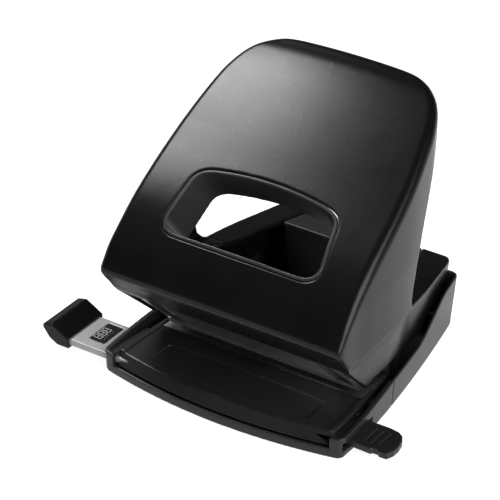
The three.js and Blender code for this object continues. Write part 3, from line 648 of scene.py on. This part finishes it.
def build_rear_block():
    """Hollow block that closes the deck between the lever's arms."""
    grid = Grid((0, 91, 5), (34, 109, 34), 0.4, half=True)
    x, y, z = grid.x, grid.y, grid.z
    side = x - (block_edge(y) - 0.6) * (1 - 0.0035 * (40 - z))
    back = y - (DECK_REAR_Y - 0.2 - 0.07 * (DECK_REAR_Z - z))
    solid = both(both(side, back, 0.8), BLOCK_FRONT_Y - y, 0.8)
    solid = both(both(solid, z - deck_height(y), 0.8), 5.3 - z, 0.3)
    hollow_y = (BLOCK_FRONT_Y + 2.4, DECK_REAR_Y - 4.6)
    solid = without(solid, block(grid, (-17, 17), hollow_y, (0, 27.5), 0.5), 0.2)
    moulded("deck_block", grid, solid, "base", ["rear_block"], MATT)


# ---------- format bar ----------
def print_format(label_top):
    """Three digits and a row of dots on the label, read from the left end of the bar."""
    wide, tall, stroke = 1.9, 3.7, 0.42
    digit_x, digits_y = -67.3, (9.2, 12.1, 15.0)
    dot_x, dots_y, dot = -64.2, (9.2, 10.6, 12.1, 13.5, 15.0), 0.35
    spans = []  # centre x, centre y, length in x, length in y
    for middle in digits_y:
        spans += [(digit_x + across, middle, stroke, wide) for across in (-tall / 2, 0, tall / 2)]
        spans += [(digit_x, middle + along, tall + stroke, stroke)
                  for along in (-wide / 2, wide / 2)]
    spans += [(dot_x, middle, dot, dot) for middle in dots_y]
    below, above = label_top - 0.05, label_top + 0.03
    corners, faces = [], []
    for cx, cy, dx, dy in spans:
        first = len(corners)
        for z in (below, above):
            for sx, sy in ((-1, -1), (1, -1), (1, 1), (-1, 1)):
                corners.append(place(cx + sx * dx / 2, cy + sy * dy / 2, z))
        for face in ((3, 2, 1, 0), (4, 5, 6, 7), (0, 1, 5, 4), (1, 2, 6, 5), (2, 3, 7, 6),
                     (3, 0, 4, 7)):
            faces.append(tuple(first + k for k in face))
    digits = add_mesh("format_digits", corners, faces, GREY, smooth=False)
    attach(digits, "format_bar")


BAR_LOW, BAR_HIGH, BAR_TOP = BAR_Y - BAR_W / 2, BAR_Y + BAR_W / 2, BAR_Z + BAR_T


def build_rail():
    """Flat rail with the label's frame cut in and detent pits underneath."""
    grid = Grid((RAIL_LEFT, 0, 3), (RAIL_RIGHT, 23, 7.5), 0.3)
    rail = block(grid, (RAIL_LEFT, RAIL_RIGHT), (BAR_LOW, BAR_HIGH), (BAR_Z, BAR_TOP), 0.5)
    frame_cut = block(grid, (-69.9, -62.1), (6.3, 19.8), (BAR_TOP - 0.6, BAR_TOP + 2), 0.3)
    rail = without(rail, frame_cut, 0.15)
    for i in range(DETENT_COUNT):
        pit = np.hypot(grid.x - (10 - DETENT_PITCH * i), grid.y - BAR_Y) - DETENT_R
        rail = without(rail, np.maximum(pit, grid.z - BAR_Z - DETENT_DEPTH), 0.1)
    moulded("rail_bar", grid, rail, "format_bar", ["format_rail"], GREY)


def build_stop():
    """Faceted stop on the left end of the bar."""
    grid = Grid((-89, -1, 2), (-75, 24, 12.5), 0.3)
    cap = [(-75.6, 2.6), (-75.6, 7.4), (-83.2, 11.6), (-84, 11.8), (-88, 10.8), (-88.6, 10.2),
           (-88.6, 8.8), (-85.4, 4.6), (-81.6, 2.6)]
    body = both(Outline(cap).at(grid.x, grid.z), slab(grid.y, BAR_Y - 12, BAR_Y + 12), 0.6)
    pocket = block(grid, (-80, -60), (BAR_LOW - GAP, BAR_HIGH + GAP),
                   (BAR_Z - GAP, BAR_TOP + GAP))
    moulded("stop_cap", grid, without(body, pocket, 0.2), "format_bar", ["format_stop"],
            SATIN)


def build_tab():
    """Rounded tab with three grip grooves on the right end of the bar."""
    grid = Grid((RAIL_RIGHT, 4, 3.2), (76, 21, 7.2), 0.25)
    front = [(RAIL_RIGHT + GAP, 4.8), (66.5, 4.4), (67.3, 5.4), (69.4, 5.4), (70.2, 4.6)]
    end = [(73.6, 4.8), (74.9, 8), (75, 11.5), (74.2, 15.5), (72.6, 18.4), (70.2, 20), (66, 20.6)]
    outline = Outline(front + end + [(RAIL_RIGHT + GAP, 20.2)], 0.2)
    tab = both(outline.at(grid.x, grid.y), slab(grid.z, BAR_Z + 0.1, BAR_TOP), 0.4)
    for x in (62, 65, 68):
        groove = block(grid, (x, x + 0.9), (8, 17), (BAR_TOP - 0.5, BAR_TOP + 2), 0.2)
        tab = without(tab, groove, 0.15)
    moulded("end_tab", grid, tab, "format_bar", ["format_tab"], MATT)


# ---------- return springs ----------
def build_spring(side, name):
    """A coil with flattened ends, at its rest length; it does not shorten as the lever goes down.
    """
    steps, around = 150, 10
    flat = 0.1  # share of the wire laid flat at each end
    points = []
    for i in range(steps + 1):
        t = i / steps
        turn = t * SPRING_TURNS * 2 * math.pi
        climb = min(1, max(0, (t - flat) / (1 - 2 * flat)))
        middle = SPRING_LOW + (SPRING_HIGH - SPRING_LOW) * climb
        for k in range(around):
            lean = 2 * math.pi * k / around
            out = SPRING_R + WIRE_R * math.cos(lean)
            points.append(place(side * PIN_X + out * math.cos(turn),
                                PIN_Y + out * math.sin(turn), middle + WIRE_R * math.sin(lean)))
    faces = [tuple(range(around))[::-1], tuple(steps * around + k for k in range(around))]
    for i in range(steps):
        for k in range(around):
            a, b = i * around + k, i * around + (k + 1) % around
            faces.append((a, b, b + around, a + around))
    coil = add_mesh(name, points, faces, ZINC)
    outward(coil.data)
    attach(coil, "base")
    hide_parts("return_spring_left" if side < 0 else "return_spring_right")
    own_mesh(coil)


build_spring(-1, "coil_left")
build_spring(1, "coil_right")
build_lever()
build_window()
build_base()
build_table()
build_tray()
build_rear_block()
build_rail()
print_format(BAR_TOP + LABEL_GAP)
build_stop()
build_tab()


# ---------- stage, light and camera ----------
def pale_paper(name, color, roughness):
    """Pale paper that glows a little, so that the floor stays white."""
    material, tree, shader, where = nodes_of(name)
    shader.inputs["Emission Color"].default_value = (1, 1, 1, 1)
    shader.inputs["Emission Strength"].default_value = 0.9
    cloud = noise(tree, where, 3, 2)
    near = tuple(c * 0.99 for c in color)
    tree.links.new(mixed(tree, cloud, near, color), shader.inputs["Base Color"])
    shader.inputs["Roughness"].default_value = roughness
    return material


def area_light(name, where, target, size, power):
    data = bpy.data.lights.new(name, "AREA")
    data.energy = power
    data.shape = "SQUARE"
    data.size = size
    lamp = bpy.data.objects.new(name, data)
    lamp.location = where
    lamp.rotation_euler = (Vector(target) - Vector(where)).to_track_quat("-Z", "Y").to_euler()
    bpy.context.scene.collection.objects.link(lamp)


FLOOR_REACH = 6  # metres from the middle to each edge
FLOOR_CORNERS = [(sx * FLOOR_REACH, sy * FLOOR_REACH, 0)
                 for sx, sy in ((-1, -1), (1, -1), (1, 1), (-1, 1))]
floor = add_mesh("floor", FLOOR_CORNERS, [(0, 1, 2, 3)],
                 pale_paper("pale_floor", (0.3, 0.3, 0.3), 0.8), smooth=False)
floor.location.z = -0.0002

world = bpy.data.worlds.new("studio")
bpy.context.scene.world = world
world.use_nodes = True
backdrop = world.node_tree.nodes["Background"]
backdrop.inputs["Color"].default_value = (0.95, 0.975, 1, 1)
sky = world.node_tree
direction = sky.nodes.new("ShaderNodeTexCoord").outputs["Generated"]
split = sky.nodes.new("ShaderNodeSeparateXYZ")
sky.links.new(direction, split.inputs[0])
glow = spread(sky, split.outputs["Z"], 0.8, 0.035, 0.02, 0.3)  # bright low down, dim overhead
sky.links.new(glow, backdrop.inputs["Strength"])

area_light("key", (-0.32, 0.02, 0.47), (-0.03, 0.02, 0.09), 0.18, 3.9)
area_light("rim", (0.7, -0.24, 0.42), (0, 0, 0.06), 0.6, 10)

AZIMUTH = math.radians(34.02)
ELEVATION = math.radians(30.89)
DISTANCE = 1.0
LOOK_AT = Vector((-0.01384, -0.00981, 0.050))
LENS, SENSOR = 180, 36  # mm
camera_data = bpy.data.cameras.new("camera")
camera_data.lens = LENS
camera_data.sensor_width = SENSOR
camera = bpy.data.objects.new("camera", camera_data)
level = math.cos(ELEVATION)
back = Vector((math.sin(AZIMUTH) * level, -math.cos(AZIMUTH) * level, math.sin(ELEVATION)))
camera.location = LOOK_AT + back * DISTANCE
camera.rotation_euler = (-back).to_track_quat("-Z", "Y").to_euler()
bpy.context.scene.collection.objects.link(camera)
bpy.context.scene.camera = camera
bpy.context.scene.view_settings.view_transform = "Standard"
